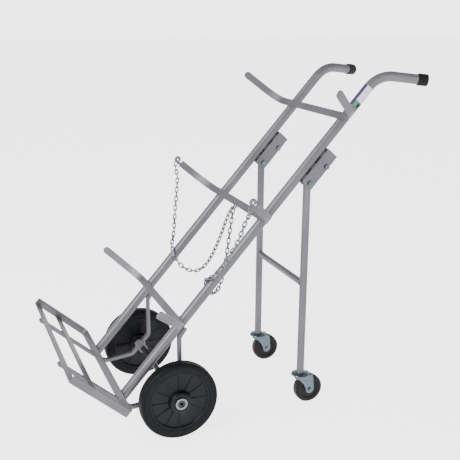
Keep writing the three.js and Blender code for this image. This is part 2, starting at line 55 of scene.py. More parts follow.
TURN = 2 * math.pi
random.seed(7)

# ---- sizes in millimetres, measured from the axle or from the foot of the rails -----------------
LEAN = math.radians(41.8)              # of the rails, back from upright
SIN, COS = math.sin(LEAN), math.cos(LEAN)
WHEEL_R = 127.0
AXLE_BEHIND, AXLE_UP = 132.9, 110.4    # the axle, measured along the rails from their foot
FOOT_Y = -(AXLE_BEHIND * COS + AXLE_UP * SIN)
FOOT_Z = WHEEL_R + AXLE_BEHIND * SIN - AXLE_UP * COS
GAP = 0.3                              # between two solids that are welded or pressed together
RAIL_X, RAIL_R, RAIL_WALL = 178.0, 16.0, 2.5
FLAT, FLAT_W = 5.0, 25.0               # the flat bars: thickness and width
FLAT_Y = -(RAIL_R + GAP + FLAT / 2)
PIVOT = (40, 903)                      # the leg's bolt: behind the rail, up along it
LOCK = (50, 979)                       # the bolt that the leg rests against
LEG_BOLT_R = 5

low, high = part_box("axle")
AXLE = Vector(((low.x + high.x) / 2, (low.y + high.y) / 2, 0.0))


def world(x, y, z):
    """A point measured from the axle, as metres in the model's frame."""
    return AXLE + Vector((x, y, z)) * MM


def lean(y, z):
    """Distances behind and along the rails as distances behind the axle and up."""
    return FOOT_Y + y * COS + z * SIN, FOOT_Z - y * SIN + z * COS


def rails(x, y, z):
    """A point measured along the leaning rails: y behind them, z up along them."""
    return world(x, *lean(y, z))


LEG_Y = lean(*PIVOT)[0]
SIDES = (("left", -1), ("right", 1))
X_AXIS = Vector((1, 0, 0))
UP = Vector((0, 0, 1))
UP_RAIL = (rails(0, 0, 1) - rails(0, 0, 0)).normalized()

# ---- camera -------------------------------------------------------------------------------------
CAMERA_AT = (2304.1, -672.5, 1317.4)


def add_camera():
    azimuth, elevation, roll = math.radians(67.79), math.radians(16.40), math.radians(0.46)
    data = bpy.data.cameras.new("camera")
    data.lens = 60.0
    data.sensor_width = 36.0
    data.shift_x = -0.0007
    data.shift_y = 0.0041
    data.clip_end = 60.0
    camera = bpy.data.objects.new("camera", data)
    bpy.context.scene.collection.objects.link(camera)
    flat = math.cos(elevation)
    back = Vector((math.sin(azimuth) * flat, -math.cos(azimuth) * flat, math.sin(elevation)))
    right = Vector((math.cos(azimuth), math.sin(azimuth), 0.0))
    up = back.cross(right)
    turned_right = right * math.cos(roll) + up * math.sin(roll)
    turned_up = up * math.cos(roll) - right * math.sin(roll)
    matrix = Matrix((turned_right, turned_up, back)).transposed().to_4x4()
    matrix.translation = world(*CAMERA_AT)
    camera.matrix_world = matrix
    bpy.context.scene.camera = camera


add_camera()

# ---- materials ----------------------------------------------------------------------------------
BUMP_DEPTH = 0.0003


def new_material(name):
    material = bpy.data.materials.new(name)
    material.use_nodes = True
    return material, material.node_tree, material.node_tree.nodes["Principled BSDF"]


def noise(tree, scale, detail, roughness=0.55, stretch=(1, 1, 1)):
    """Soft mottling fixed to the object; scale is per metre."""
    place = tree.nodes.new("ShaderNodeTexCoord")
    mapping = tree.nodes.new("ShaderNodeMapping")
    mapping.inputs["Scale"].default_value = stretch
    texture = tree.nodes.new("ShaderNodeTexNoise")
    texture.inputs["Scale"].default_value = scale
    texture.inputs["Detail"].default_value = detail
    texture.inputs["Roughness"].default_value = roughness
    tree.links.new(place.outputs["Object"], mapping.inputs["Vector"])
    tree.links.new(mapping.outputs["Vector"], texture.inputs["Vector"])
    return texture.outputs["Fac"]


def ramp(tree, value, stops):
    """Colours or single values spread over a value between 0 and 1."""
    node = tree.nodes.new("ShaderNodeValToRGB")
    elements = node.color_ramp.elements
    while len(elements) < len(stops):
        elements.new(0.5)
    for element, (position, colour) in zip(elements, stops):
        element.position = position
        element.color = (*colour, 1.0) if len(colour) == 3 else (colour[0],) * 3 + (1.0,)
    tree.links.new(value, node.inputs["Fac"])
    return node.outputs["Color"]


def mix(tree, factor, first, second):
    node = tree.nodes.new("ShaderNodeMix")
    node.data_type = "RGBA"
    tree.links.new(factor, node.inputs["Factor"])
    tree.links.new(first, node.inputs["A"])
    tree.links.new(second, node.inputs["B"])
    return node.outputs["Result"]


def bump(tree, shader, height, strength):
    node = tree.nodes.new("ShaderNodeBump")
    node.inputs["Strength"].default_value = strength
    node.inputs["Distance"].default_value = BUMP_DEPTH
    tree.links.new(height, node.inputs["Height"])
    tree.links.new(node.outputs["Normal"], shader.inputs["Normal"])


def gloss(tree, shader, scale, detail, rough):
    """Roughness that wanders between two values."""
    tone = ramp(tree, noise(tree, scale, detail), [(0.3, (rough[0],)), (0.75, (rough[1],))])
    tree.links.new(tone, shader.inputs["Roughness"])


def painted(name, dark, light, metal, rough, scuff):
    """Satin enamel: cloudy tone, fine orange peel and a few rubbed marks."""
    material, tree, shader = new_material(name)
    cloud = ramp(tree, noise(tree, 9, 5), [(0.3, dark), (0.72, light)])
    rubbed = ramp(tree, noise(tree, 46, 8, 0.7, (1, 1, 2.6)),
                  [(scuff, (0, 0, 0)), (scuff + 0.06, (1, 1, 1))])
    worn = ramp(tree, noise(tree, 260, 2),
                [(0.3, (0.07, 0.067, 0.066)), (0.8, (0.15, 0.15, 0.155))])
    tree.links.new(mix(tree, rubbed, cloud, worn), shader.inputs["Base Color"])
    gloss(tree, shader, 60, 6, rough)
    shader.inputs["Metallic"].default_value = metal
    shader.inputs["Specular IOR Level"].default_value = 0.35
    shader.inputs["Specular Tint"].default_value = (0.45, 0.45, 0.47, 1.0)
    bump(tree, shader, noise(tree, 900, 3), 0.015)
    return material


def moulded(name, dark, light, rough, grain=1400.0, strength=0.25, shine=0.12):
    """Rubber, plastic or film with a fine grain and a dusty tone."""
    material, tree, shader = new_material(name)
    tone = ramp(tree, noise(tree, 22, 7, 0.65), [(0.35, dark), (0.75, light)])
    tree.links.new(tone, shader.inputs["Base Color"])
    gloss(tree, shader, 70, 5, rough)
    shader.inputs["Specular IOR Level"].default_value = shine
    bump(tree, shader, noise(tree, grain, 3), strength)
    return material


def plated(name, dark, light, rough, mottling=120.0):
    """Zinc plate or bright steel with mottled gloss."""
    material, tree, shader = new_material(name)
    tone = ramp(tree, noise(tree, mottling, 6, 0.6), [(0.3, dark), (0.75, light)])
    tree.links.new(tone, shader.inputs["Base Color"])
    gloss(tree, shader, mottling * 2.5, 5, rough)
    shader.inputs["Metallic"].default_value = 0.85
    bump(tree, shader, noise(tree, 700, 4), 0.05)
    return material


def printed(name, dark, light, rough=(0.3, 0.42)):
    """A colour of the label, on film with a coarser and fainter grain."""
    return moulded(name, dark, light, rough, grain=500.0, strength=0.06)


PAINT = painted("satin_grey", (0.076, 0.075, 0.083), (0.100, 0.098, 0.109), metal=0.45,
                rough=(0.38, 0.44), scuff=0.76)
WELD = painted("weld_grey", (0.062, 0.061, 0.067), (0.095, 0.094, 0.10), metal=0.25,
               rough=(0.4, 0.55), scuff=0.8)
TYRE = moulded("tyre_rubber", (0.0012, 0.0015, 0.0021), (0.0028, 0.0033, 0.0042), (0.5, 0.7),
               shine=0.1)
WHEEL = moulded("wheel_plastic", (0.0012, 0.0016, 0.0023), (0.0026, 0.0032, 0.0042), (0.34, 0.46))
GRIP = moulded("grip_rubber", (0.002, 0.002, 0.0025), (0.004, 0.004, 0.0045), (0.42, 0.55))
ZINC = plated("zinc_plate", (0.045, 0.064, 0.075), (0.095, 0.122, 0.137), (0.20, 0.34))
LINK = plated("chain_zinc", (0.05, 0.063, 0.073), (0.12, 0.14, 0.155), (0.24, 0.40), 300.0)
STEEL = plated("bright_steel", (0.085, 0.088, 0.094), (0.14, 0.144, 0.152), (0.24, 0.40))
DARK_STEEL = plated("dark_steel", (0.02, 0.021, 0.024), (0.05, 0.052, 0.056), (0.40, 0.60))
FILM = printed("label_film", (0.38, 0.375, 0.45), (0.46, 0.455, 0.53), (0.32, 0.45))
STRIPE = printed("label_stripe", (0.02, 0.018, 0.05), (0.032, 0.029, 0.075))
BAND = printed("label_band", (0.035, 0.13, 0.07), (0.05, 0.17, 0.095))
# Near-black green drawn on the green band where it turns away from the lamps: painted shade, not
# print.
PAINTED_SHADE = printed("label_band_painted_shade", (0.002, 0.013, 0.006), (0.004, 0.02, 0.01))

# ---- making pieces ------------------------------------------------------------------------------
def piece(name, verts, faces, material, body, nodes=(), edge=0.0, angle=32.0, slot=None):
    """A mesh object that rides on a body, stands for CAD nodes and has softened edges."""
    mesh = bpy.data.meshes.new(name)
    mesh.from_pydata([tuple(v) for v in verts], [], faces)
    work = bmesh.new()
    work.from_mesh(mesh)
    bmesh.ops.remove_doubles(work, verts=work.verts, dist=1e-7)
    bmesh.ops.recalc_face_normals(work, faces=work.faces)
    work.to_mesh(mesh)
    work.free()
    mesh.polygons.foreach_set("use_smooth", [True] * len(mesh.polygons))
    if not edge:
        mesh.set_sharp_from_angle(angle=math.radians(angle))
    materials = material if isinstance(material, list) else [material]
    for each in materials:
        mesh.materials.append(each)
    obj = bpy.data.objects.new(name, mesh)
    bpy.context.scene.collection.objects.link(obj)
    if edge:
        bevel = obj.modifiers.new("edge", "BEVEL")
        bevel.width = edge * MM
        bevel.segments = 2
        bevel.limit_method = "ANGLE"
        bevel.angle_limit = math.radians(angle)
        bevel.harden_normals = True
        bevel.use_clamp_overlap = True
    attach(obj, body)
    if nodes:
        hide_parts(*nodes)
    return obj


def merged(*parts):
    verts, faces = [], []
    for part_verts, part_faces in parts:
        base = len(verts)
        verts += part_verts
        faces += [tuple(i + base for i in face) for face in part_faces]
    return verts, faces


def circle(radius, sides, start=0.0):
    return [(radius * math.cos(a), radius * math.sin(a))
            for a in [start + TURN * k / sides for k in range(sides)]]


def box_section(width, thick):
    return [(width / 2, thick / 2), (-width / 2, thick / 2), (-width / 2, -thick / 2),
            (width / 2, -thick / 2)]


def path_frames(points, up=None):
    """First and second section axes, and mitre stretch, at each point."""
    count = len(points)
    frames = []
    normal = None
    for i, point in enumerate(points):
        before = (point - points[i - 1]).normalized() if i else None
        after = (points[i + 1] - point).normalized() if i < count - 1 else None
        tangent = ((before or after) + (after or before)).normalized()
        stretch = 1.0 / max(tangent.dot(after or before), 0.5)
        if up is not None:
            normal = up
            side = tangent.cross(up).normalized()
        else:
            if normal is None:
                normal = UP if abs(tangent.z) < 0.9 else Vector((0, 1, 0))
            normal = (normal - tangent * normal.dot(tangent)).normalized()
            side = tangent.cross(normal).normalized()
            stretch = 1.0
        frames.append((normal, side, stretch))
    return frames


def sweep(points, section, up=None, scales=None, caps=True):
    """A bar of that section (millimetres) along points in metres."""
    verts, faces = [], []
    sides = len(section)
    for i, (point, (normal, side, stretch)) in enumerate(zip(points, path_frames(points, up))):
        a_scale, b_scale = scales[i] if scales else (1.0, 1.0)
        for a, b in section:
            verts.append(point + normal * a * a_scale * MM + side * b * b_scale * stretch * MM)
    for i in range(len(points) - 1):
        for k in range(sides):
            a, b = i * sides + k, i * sides + (k + 1) % sides
            faces.append((a, b, b + sides, a + sides))
    if caps:
        last = (len(points) - 1) * sides
        faces.append(tuple(range(sides - 1, -1, -1)))
        faces.append(tuple(range(last, last + sides)))
    return verts, faces


def pipe(points, outer, inner, sides):
    """An open tube with its wall."""
    outside, outer_faces = sweep(points, circle(outer, sides), caps=False)
    inside, inner_faces = sweep(points, circle(inner, sides), caps=False)
    base = len(outside)
    faces = outer_faces + [tuple(i + base for i in reversed(f)) for f in inner_faces]
    last = (len(points) - 1) * sides
    for k in range(sides):
        n = (k + 1) % sides
        faces.append((k, n, base + n, base + k))
        faces.append((last + n, last + k, base + last + k, base + last + n))
    return outside + inside, faces


def spokes(axis, count):
    """Directions square to the axis, all the way round it."""
    first = UP if abs(axis.z) < 0.9 else Vector((0, 1, 0))
    first = (first - axis * first.dot(axis)).normalized()
    second = axis.cross(first)
    return [first * math.cos(a) + second * math.sin(a)
            for a in [TURN * k / count for k in range(count)]]


def mirrored(half, other=None):
    """A closed profile from its half on the axis's side, and the same or another one opposite."""
    return [(r, -h) for r, h in other or half] + [(r, h) for r, h in reversed(half)]


def lathe(profile, centre, axis, segments, closed=False):
    """Turned form. The profile is (radius, distance along axis) in millimetres."""
    verts, faces = [], []
    count = len(profile)
    for spoke in spokes(axis, segments):
        for r, h in profile:
            verts.append(centre + (spoke * r + axis * h) * MM)
    for k in range(segments):
        n = (k + 1) % segments
        for i in range(count if closed else count - 1):
            j = (i + 1) % count
            if profile[i][0] or profile[j][0]:
                faces.append((k * count + i, n * count + i, n * count + j, k * count + j))
    return clean(verts, faces)


def clean(verts, faces):
    """Merges pole points and drops collapsed faces."""
    key, remap, kept = {}, [], []
    for v in verts:
        k = (round(v.x, 8), round(v.y, 8), round(v.z, 8))
        if k not in key:
            key[k] = len(kept)
            kept.append(v)
        remap.append(key[k])
    good = []
    for face in faces:
        ring = []
        for i in face:
            if remap[i] not in ring:
                ring.append(remap[i])
        if len(ring) > 2:
            good.append(tuple(ring))
    return kept, good


def bend(start, corner, end, radius, steps):
    """Straight, round bend, straight; all in metres, radius in millimetres."""
    first = (start - corner).normalized()
    last = (end - corner).normalized()
    half = math.acos(max(-1.0, min(1.0, first.dot(last)))) / 2
    centre = corner + (first + last).normalized() * (radius * MM / math.sin(half))
    reach = radius * MM / math.tan(half)
    arm = corner + first * reach - centre
    axis = arm.cross(corner + last * reach - centre).normalized()
    points = [start]
    for i in range(steps + 1):
        turn = (math.pi - 2 * half) * i / steps
        points.append(centre + Matrix.Rotation(turn, 3, axis) @ arm)
    points.append(end)
    return points


CURVE_STEPS = 24


def smooth_path(points, count):
    """Evenly spaced points on a centripetal Catmull-Rom curve, and its length."""
    fine = []
    ends = [points[0] * 2 - points[1]] + list(points) + [points[-1] * 2 - points[-2]]
    for i in range(1, len(ends) - 2):
        p0, p1, p2, p3 = ends[i - 1:i + 3]
        t1 = math.sqrt((p1 - p0).length)
        t2 = t1 + math.sqrt((p2 - p1).length)
        t3 = t2 + math.sqrt((p3 - p2).length)
        for s in range(CURVE_STEPS):
            t = t1 + (t2 - t1) * s / CURVE_STEPS
            a1 = p0 * ((t1 - t) / t1) + p1 * (t / t1)
            a2 = p1 * ((t2 - t) / (t2 - t1)) + p2 * ((t - t1) / (t2 - t1))
            a3 = p2 * ((t3 - t) / (t3 - t2)) + p3 * ((t - t2) / (t3 - t2))
            b1 = a1 * ((t2 - t) / t2) + a2 * (t / t2)
            b2 = a2 * ((t3 - t) / (t3 - t1)) + a3 * ((t - t1) / (t3 - t1))
            fine.append(b1 * ((t2 - t) / (t2 - t1)) + b2 * ((t - t1) / (t2 - t1)))
    fine.append(points[-1].copy())
    lengths = [0.0]
    for a, b in zip(fine, fine[1:]):
        lengths.append(lengths[-1] + (b - a).length)
    even, k = [], 0
    for i in range(count):
        target = lengths[-1] * i / (count - 1)
        while k < len(fine) - 2 and lengths[k + 1] < target:
            k += 1
        span = lengths[k + 1] - lengths[k]
        even.append(fine[k].lerp(fine[k + 1], (target - lengths[k]) / span if span else 0.0))
    return even, lengths[-1]


# ---- chains: first, because their room is checked against the view ------------------------------
LINK_PITCH, LINK_WIRE, LINK_WIDTH = 17.0, 4.3, 14.2
LINK_TURN, LINK_SWING = 35, 9          # degrees: of the first link about the chain, and by chance
CHAIN = [                              # right chain's middle line, from the hook to the eye
    (345, 193, 767), (346, 188.5, 760.8), (347, 188.5, 751), (335, 188.5, 733), (319, 187, 713),
    (306, 180, 677.5), (293, 173, 644.5), (269, 160, 601), (252, 152, 569), (217, 136, 526),
    (194, 122, 503), (180, 118, 496), (167, 117, 487), (157.5, 119.5, 473), (152, 124, 458),
    (145, 134, 441), (133, 148, 428), (118, 165, 421), (102, 183, 423), (88, 198, 436),
    (75, 211, 456), (63, 222, 482), (53, 232, 511), (43, 241, 541), (34, 249, 572),
    (26, 257, 603), (18, 265, 634), (11, 272, 655), (5, 276, 668),
]


def link_ring():
    """Middle line of one link, long axis first."""
    radius = (LINK_WIDTH - LINK_WIRE) / 2
    straight = (LINK_PITCH + LINK_WIRE) / 2 - radius
    ring = []
    for end, start in ((straight, -math.pi / 2), (-straight, math.pi / 2)):
        for k in range(9):
            a = start + math.pi * k / 8
            ring.append((end + radius * math.cos(a), radius * math.sin(a)))
    return ring


def add_chain(name, sign):
    """Links a quarter turn apart along the route, each nudged a little by chance."""
    route = [world(sign * x, y, z) for x, y, z in CHAIN]
    _, length = smooth_path(route, 3)
    links = round(length / MM / LINK_PITCH)
    joints, _ = smooth_path(route, links + 1)
    frames = path_frames(joints)
    ring = link_ring()
    count, sides = len(ring), 8
    verts, faces = [], []
    for n in range(links):
        along = (joints[n + 1] - joints[n]).normalized()
        middle = (joints[n + 1] + joints[n]) / 2
        normal = frames[n][0]
        normal = (normal - along * normal.dot(along)).normalized()
        turn = LINK_TURN + 90 * (n % 2) + random.uniform(-LINK_SWING, LINK_SWING)
        across = Matrix.Rotation(math.radians(turn), 3, along) @ normal
        face_normal = along.cross(across)
        base = len(verts)
        for i, (a, b) in enumerate(ring):
            here = middle + (along * a + across * b) * MM
            a1, b1 = ring[(i + 1) % count]
            a0, b0 = ring[i - 1]
            tangent = (along * (a1 - a0) + across * (b1 - b0)).normalized()
            outward = tangent.cross(face_normal)
            for u, v in circle(LINK_WIRE / 2, sides):
                verts.append(here + (outward * u + face_normal * v) * MM)
        for i in range(count):
            for k in range(sides):
                j, m = (i + 1) % count, (k + 1) % sides
                faces.append((base + i * sides + k, base + j * sides + k,
                              base + j * sides + m, base + i * sides + m))
    chain = piece(f"chain_{name}_links", verts, faces, LINK, "frame", [f"chain_{name}"],
                  slot="zinc_plate")
    path, length = smooth_path(route, 90)


for side_name, side_sign in SIDES:
    add_chain(side_name, side_sign)

# ---- rails and grips ----------------------------------------------------------------------------
CORNER_Z = 1312                        # where a rail bends back into its handle
HANDLE = Vector((0.331, 0.770, 0.545))
HANDLE_LEN = 157
HANDLE_BEND = 90
CAP_LEN, CAP_PROUD = 33, 3.3           # and how far it stands out past the tube
FLUTES, FLUTE = 24, 0.55               # how many, and half their depth


def handle_end(sign, length):
    """A point along the handle's axis, at a distance from the rail's corner."""
    x, y, z = HANDLE * length
    return rails(sign * (RAIL_X + x), y, CORNER_Z + z)


def add_rail(name, sign):
    start = rails(sign * RAIL_X, 0, 0)
    corner = rails(sign * RAIL_X, 0, CORNER_Z)
    path = bend(start, corner, handle_end(sign, HANDLE_LEN), HANDLE_BEND, 28)
    verts, faces = pipe(path, RAIL_R, RAIL_R - RAIL_WALL, 48)
    piece(f"rail_{name}_tube", verts, faces, PAINT, "frame", [f"rail_{name}"], slot="grey_paint")


def add_grip(name, sign):
    """Ribbed rubber cap with flutes along it and a domed end."""
    tip = handle_end(sign, HANDLE_LEN + CAP_PROUD)
    axis = (tip - handle_end(sign, HANDLE_LEN)).normalized()
    base = tip - axis * CAP_LEN * MM
    segments = 4 * FLUTES
    profile = [(16.35, 0, 0), (18.6, 0, 0), (19.2, 0.8, 0), (19.2, 3.0, 0), (18.9, 4.0, 1),
               (19.0, 10, 1), (19.0, 20, 1), (18.9, 27.0, 1), (19.2, 28.0, 0), (19.2, 30.4, 0),
               (18.4, 32.0, 0), (16.8, 32.8, 0), (13.0, 33.0, 0), (12.4, 32.4, 0), (0, 32.4, 0)]
    verts, faces = [], []
    for k, spoke in enumerate(spokes(axis, segments)):
        flute = FLUTE if k % 4 < 2 else -FLUTE
        for r, h, fluted in profile:
            verts.append(base + (spoke * (r + flute * fluted) + axis * h) * MM)
    count = len(profile)
    for k in range(segments):
        n = (k + 1) % segments
        for i in range(count - 1):
            faces.append((k * count + i, n * count + i, n * count + i + 1, k * count + i + 1))
    verts, faces = clean(verts, faces)
    piece(f"grip_{name}", verts, faces, GRIP, "frame", [f"grip_cap_{name}"], slot="black_rubber",
          angle=40)


# ---- tray, runners and lugs ---------------------------------------------------------------------
TRAY_HALF, TRAY_FRONT, TRAY_MID = 325, -241, -137
TRAY_CORNER = 16
STAY_W, STAY_T, STAY_BEND = 14, 12, 14
RUNNER_END, RUNNER_BACK = -237, 30
STAY_TURNS = [(-136, 99), (-39.4, 110), (23.5, 177.4), (23.5, 312.6)]   # from under the axle, up
STAY_TOP = 300                         # where it meets the rail's back
LUG_T, LUG_R, LUG_END = 8, 15, (-14, 20)   # and from the axle to its other end, on the rail
AXLE_HOLE = 9.8


def add_tray():
    """The bent rim and the two flat bars across it."""
    outer = TRAY_HALF - FLAT / 2
    right = []
    for i in range(9):
        a = math.pi / 2 * i / 8
        right.append((outer + TRAY_CORNER * (math.sin(a) - 1),
                      FLAT_Y + TRAY_CORNER * (math.cos(a) - 1)))
    right.append((outer, TRAY_FRONT))
    plan = [(-x, y) for x, y in reversed(right)] + right
    points = [rails(x, y, FLAT_W / 2) for x, y in plan]
    verts, faces = sweep(points, box_section(FLAT_W, FLAT), up=UP_RAIL)
    piece("tray_rim_bar", verts, faces, PAINT, "frame", ["tray_rim"], edge=0.9, slot="grey_paint")
    half = TRAY_HALF - FLAT - GAP
    for name, y in (("front", TRAY_FRONT + FLAT_W / 2), ("middle", TRAY_MID)):
        points = [rails(-half, y, FLAT / 2), rails(half, y, FLAT / 2)]
        verts, faces = sweep(points, box_section(FLAT, FLAT_W), up=UP_RAIL)
        piece(f"tray_{name}_flat", verts, faces, PAINT, "frame", [f"tray_{name}_bar"], edge=0.9,
              slot="grey_paint")


def round_route(points, radius, steps):
    """Rounds every inner corner of a polyline; radius in millimetres."""
    route = [points[0]]
    for before, corner, after in zip(points, points[1:], points[2:]):
        route += bend(before, corner, after, radius, steps)[1:-1]
    return route + [points[-1]]


def add_stay(name, sign):
    """One bar: a runner under the tray, bent round the axle and up to the rail's back."""
    x = sign * RAIL_X
    back = RAIL_R + GAP + STAY_T / 2
    level = -(GAP + STAY_T / 2)
    nose, heights = [], []
    for k in range(6):
        a = math.pi / 2 * k / 6
        nose.append(rails(x, RUNNER_END - STAY_T / 2 * math.cos(a), level))
        heights.append(max(math.sin(a), 0.05))
    corners = [rails(x, RUNNER_END, level), rails(x, RUNNER_BACK, level)]
    corners += [world(x, y, z) for y, z in STAY_TURNS] + [rails(x, back + GAP, STAY_TOP)]
    route = round_route(corners, STAY_BEND, 5)
    points = nose + route
    scales = [(1.0, h) for h in heights] + [(1.0, 1.0)] * len(route)
    verts, faces = sweep(points, box_section(STAY_W, STAY_T), up=X_AXIS, scales=scales)
    piece(f"stay_{name}_bar", verts, faces, PAINT, "frame", [f"runner_stay_{name}"], edge=1.4,
          angle=40, slot="grey_paint")


def add_lug(name, sign):
    """Oval plate from the axle to the rail, with the axle's hole."""
    end_y, end_z = LUG_END
    away = math.atan2(end_z, end_y)
    outline = []
    for y, z, start in ((0, 0, away + math.pi / 2), (end_y, end_z, away - math.pi / 2)):
        for k in range(17):
            a = start + math.pi * k / 16
            outline.append((y + LUG_R * math.cos(a), z + LUG_R * math.sin(a)))
    inner = RAIL_X - STAY_W / 2 - GAP - LUG_T
    hole = circle(AXLE_HOLE, len(outline), away + math.pi / 2)
    verts, faces = [], []
    for x in (inner, inner + LUG_T):
        for ring in (outline, hole):
            verts += [world(sign * x, y, z + WHEEL_R) for y, z in ring]
    n = len(outline)
    for k in range(n):
        m = (k + 1) % n
        faces += [(k, m, n + m, n + k), (2 * n + k, 2 * n + m, 3 * n + m, 3 * n + k),
                  (k, m, 2 * n + m, 2 * n + k), (n + k, n + m, 3 * n + m, 3 * n + k)]
    piece(f"lug_{name}_plate", verts, faces, PAINT, "frame", [f"axle_lug_{name}"], edge=0.8,
          slot="grey_paint")


# ---- cradles, hooks and eye ---------------------------------------------------------------------
# Height up the rails, whether the tips are rounded, and the right arm's points: across, forward.
CRADLES = {
    "top": (1130, True, [(196, 18.8), (222, 18.8), (246, 24), (270, 38), (289, 58), (305, 84),
                         (320, 114), (337, 147)]),
    "middle": (722, False, [(196, 18.8), (222, 18.8), (248, 23), (274, 35), (298, 54), (318, 80),
                            (332, 108), (341, 135)]),
    "bottom": (304, True, [(196, 18.8), (222, 19.5), (240, 28), (256, 44), (272, 64), (292, 93),
                           (311, 122), (329, 151)]),
}


def add_cradle(name):
    """Flat bar across both rails, with an arm curving forward at each end."""
    z, rounded, arm = CRADLES[name]
    right = [rails(x, -y, z) for x, y in arm]
    left = [rails(-x, -y, z) for x, y in arm]
    right, _ = smooth_path(right, 40)
    left, _ = smooth_path(left, 40)
    points = list(reversed(left)) + right
    scales = [(1.0, 1.0)] * len(points)
    if rounded:
        tip = FLAT_W / 2 * MM
        extra = 10
        ends = []
        for run in (left, right):
            onward = (run[-1] - run[-2]).normalized()
            ends.append([run[-1] + onward * tip * math.sin(math.pi / 2 * k / extra)
                         for k in range(1, extra + 1)])
        widths = [(max(math.cos(math.pi / 2 * k / extra), 0.04), 1.0) for k in range(1, extra + 1)]
        points = list(reversed(ends[0])) + points + ends[1]
        scales = list(reversed(widths)) + scales + widths
    verts, faces = sweep(points, box_section(FLAT_W, FLAT), up=UP_RAIL, scales=scales)
    piece(f"cradle_{name}_flat", verts, faces, PAINT, "frame", [f"cradle_{name}"], edge=0.9,
          angle=40, slot="grey_paint")


def rod(points, radius, sides):
    """Round rod with a domed far end."""
    onward = (points[-1] - points[-2]).normalized() * radius * MM
    dome = (0.35, 0.7, 0.95)
    scales = [(1.0, 1.0)] * len(points) + [(math.sqrt(1 - k * k),) * 2 for k in dome]
    points = list(points) + [points[-1] + onward * k for k in dome]
    return sweep(points, circle(radius, sides), scales=scales)


HOOK_X, HOOK_FORWARD, HOOK_Z = 345, 152, 725.5
HOOK_LOOP, HOOK_ROD = 7.5, 4.8         # radii of the loop and of the rod
HOOK_TURN, HOOK_STEPS = 250, 20
EYE_LOOP, EYE_ROD, EYE_DROP = 8, 3, 6


def add_hook(name, sign):
    """Rod on the end of the middle arm, curled into an open loop."""
    arm_x, arm_forward = CRADLES["middle"][2][-1]
    points = [rails(sign * (arm_x + 0.5), -arm_forward - 2 * GAP, HOOK_Z - HOOK_LOOP)]
    for i in range(HOOK_STEPS + 1):
        a = math.radians(-90 - HOOK_TURN * i / HOOK_STEPS)
        points.append(rails(sign * HOOK_X, HOOK_LOOP * math.cos(a) - HOOK_FORWARD,
                            HOOK_Z + HOOK_LOOP * math.sin(a)))
    verts, faces = rod(points, HOOK_ROD, 20)
    piece(f"hook_{name}_rod", verts, faces, PAINT, "frame", [f"chain_hook_{name}"],
          slot="grey_paint", angle=60)


def add_eye():
    """Half ring under the middle of the middle cradle."""
    z = CRADLES["middle"][0] - FLAT_W / 2 - GAP
    points = [rails(-EYE_LOOP, FLAT_Y, z), rails(-EYE_LOOP, FLAT_Y, z - EYE_DROP)]
    for i in range(1, 16):
        a = math.pi + math.pi * i / 16
        points.append(rails(EYE_LOOP * math.cos(a), FLAT_Y, z - EYE_DROP + EYE_LOOP * math.sin(a)))
    points += [rails(EYE_LOOP, FLAT_Y, z - EYE_DROP), rails(EYE_LOOP, FLAT_Y, z)]
    verts, faces = sweep(points, circle(EYE_ROD, 18))
    piece("eye_rod", verts, faces, PAINT, "frame", ["chain_eye"], slot="grey_paint", angle=60)


# ---- bolts --------------------------------------------------------------------------------------
# In bolt radii: the hexagon's radius and chamfer, how far the head and the nut stand out, the
# washer's radius and the thread's root.
HEX, CHAMFER, HEAD_OUT, NUT_OUT, WASHER_R, ROOT = 1.7, 0.12, 1.2, 1.4, 2.0, 0.9
WASHER, TAIL, TAIL_CHAMFER, THREAD = 0.8, 2, 0.8, 1.0   # lengths along the bolt


def hexagon(x0, x1, radius, place):
    """Hexagon with chamfered faces between two distances along X."""
    chamfer = CHAMFER * radius
    rows = [(x0, radius - chamfer), (x0 + chamfer * 0.6, radius), (x1 - chamfer * 0.6, radius),
            (x1, radius - chamfer)]
    verts = []
    for x, r in rows:
        verts += [place(x, a, b) for a, b in circle(r, 6)]
    faces = [tuple(range(5, -1, -1)), tuple(range(18, 24))]
    for i in range(3):
        for k in range(6):
            n = (k + 1) % 6
            faces.append((i * 6 + k, i * 6 + n, i * 6 + 6 + n, i * 6 + 6 + k))
    return verts, faces


def add_bolt(name, body, centre, grip, radius, tilt=0.0):
    """Hexagon bolt along X with a nut, a washer each side and a threaded end."""
    def place(x, a, b):
        y = a * math.cos(tilt) + b * math.sin(tilt)
        z = b * math.cos(tilt) - a * math.sin(tilt)
        return centre + Vector((x, y, z)) * MM

    def washer(x0, x1):
        rim = radius * WASHER_R
        return lathe([(radius, x0), (rim, x0), (rim, x1), (radius, x1)], centre, X_AXIS, 28,
                     closed=True)

    head = grip + GAP
    nut_out = -(head + radius * NUT_OUT)
    tail = nut_out - TAIL
    x = tail + TAIL_CHAMFER
    profile = [(0, tail), (radius * 0.8, tail), (radius, x)]
    while x < -grip - 2 * GAP:
        profile += [(radius, x), (radius * ROOT, x + THREAD / 2)]
        x += THREAD
    profile += [(radius, -head), (radius, head + 0.5), (0, head + 0.5)]
    shaft = lathe(profile, centre, X_AXIS, 24)
    cap = hexagon(head + WASHER, head + radius * HEAD_OUT, radius * HEX, place)
    verts, faces = merged(shaft, cap, washer(head, head + WASHER))
    piece(f"{name}_bolt_steel", verts, faces, ZINC, body, [f"{name}_bolt"], slot="zinc_plate")
    nut = hexagon(nut_out, -head - WASHER, radius * HEX, place)
    verts, faces = merged(nut, washer(-head - WASHER, -head))
    piece(f"{name}_nut_steel", verts, faces, ZINC, body, [f"{name}_nut"], slot="zinc_plate")


# ---- folding legs -------------------------------------------------------------------------------
LEG_R, LEG_WALL, LEG_FOOT = 12.7, 2.5, 113
LEG_CLEAR = 19.6                       # the leg's top end, behind the rail's middle
BRACE_R, BRACE_WALL, BRACE_Z = 11, 2, 434
CHANNEL_HALF, CHANNEL_PLATE = 20, 3
CHANNEL_Y, CHANNEL_Z = (16.3, 58), (890, 1025)
CHANNEL_BEND = 3.5


